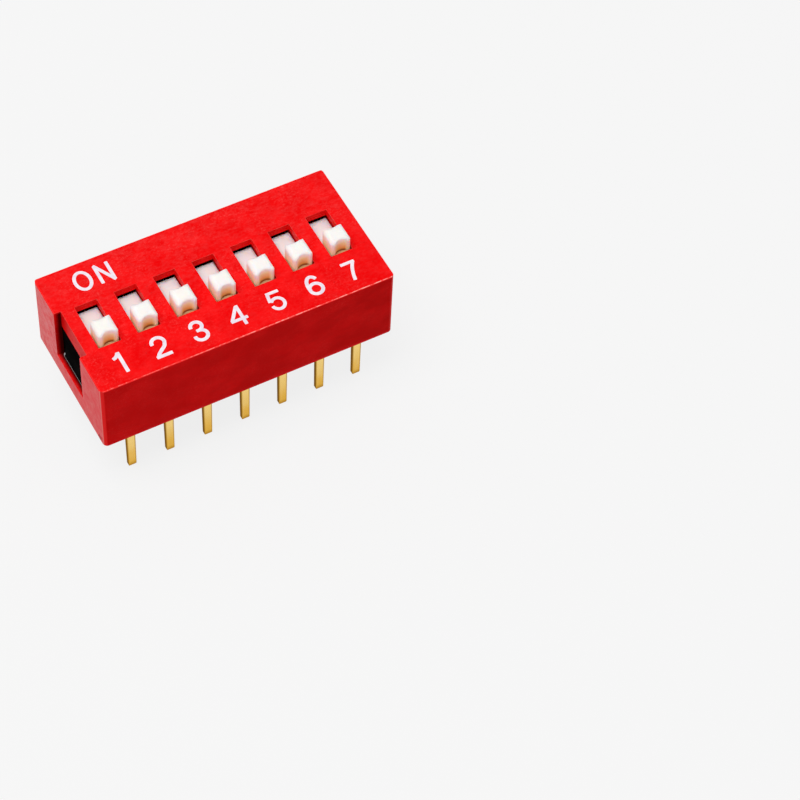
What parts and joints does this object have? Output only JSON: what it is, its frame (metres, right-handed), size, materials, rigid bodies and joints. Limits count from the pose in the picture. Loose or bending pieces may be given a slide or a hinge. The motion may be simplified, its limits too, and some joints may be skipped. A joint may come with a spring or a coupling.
{
  "type": "slide-type dip switch",
  "caption": "Slide-type DIP switch: red shell with a row of windows, ivory sliders that move between OFF and ON, black sealed base and rows of flat gold pins.",
  "frame": {"origin": "the middle of the pin grid, on the surface of the board that the switch is fitted to", "axes": "+X along the row of sliders from position 1 to position 7, +Y to the ON side, +Z away from the board"},
  "size_m": [0.0192, 0.0094, 0.0103],
  "materials": {
    "cover_plastic": "semi-gloss moulded",
    "base_plastic": "matte moulded",
    "potting_resin": "smooth cast",
    "slider_plastic": "satin moulded",
    "contact_gold": "gold plated",
    "terminal_gold": "gold plated",
    "legend_ink": "pad-printed ink"
  },
  "bodies": {
    "housing": {"cover": "cover_plastic", "base": "base_plastic", "potting_resin": "potting_resin", "terminal_1": "terminal_gold", "terminal_2": "terminal_gold", "terminal_3": "terminal_gold", "terminal_4": "terminal_gold", "terminal_5": "terminal_gold", "terminal_6": "terminal_gold", "terminal_7": "terminal_gold", "terminal_8": "terminal_gold", "terminal_9": "terminal_gold", "terminal_10": "terminal_gold", "terminal_11": "terminal_gold", "terminal_12": "terminal_gold", "terminal_13": "terminal_gold", "terminal_14": "terminal_gold"},
    "switch_1": {"slider_1": "slider_plastic", "moving_contact_1": "contact_gold"},
    "switch_2": {"slider_2": "slider_plastic", "moving_contact_2": "contact_gold"},
    "switch_3": {"slider_3": "slider_plastic", "moving_contact_3": "contact_gold"},
    "switch_4": {"slider_4": "slider_plastic", "moving_contact_4": "contact_gold"},
    "switch_5": {"slider_5": "slider_plastic", "moving_contact_5": "contact_gold"},
    "switch_6": {"slider_6": "slider_plastic", "moving_contact_6": "contact_gold"},
    "switch_7": {"slider_7": "slider_plastic", "moving_contact_7": "contact_gold"}
  },
  "joints": [
    {"name": "switch_1_slide", "type": "slide", "parent": "housing", "child": "switch_1", "axis": [0, 1, 0], "range_m": [0, 0.00194]},
    {"name": "switch_2_slide", "type": "slide", "parent": "housing", "child": "switch_2", "axis": [0, 1, 0], "range_m": [0, 0.00194]},
    {"name": "switch_3_slide", "type": "slide", "parent": "housing", "child": "switch_3", "axis": [0, 1, 0], "range_m": [0, 0.00194]},
    {"name": "switch_4_slide", "type": "slide", "parent": "housing", "child": "switch_4", "axis": [0, 1, 0], "range_m": [0, 0.00194]},
    {"name": "switch_5_slide", "type": "slide", "parent": "housing", "child": "switch_5", "axis": [0, 1, 0], "range_m": [0, 0.00194]},
    {"name": "switch_6_slide", "type": "slide", "parent": "housing", "child": "switch_6", "axis": [0, 1, 0], "range_m": [0, 0.00194]},
    {"name": "switch_7_slide", "type": "slide", "parent": "housing", "child": "switch_7", "axis": [0, 1, 0], "range_m": [0, 0.00194]}
  ]
}
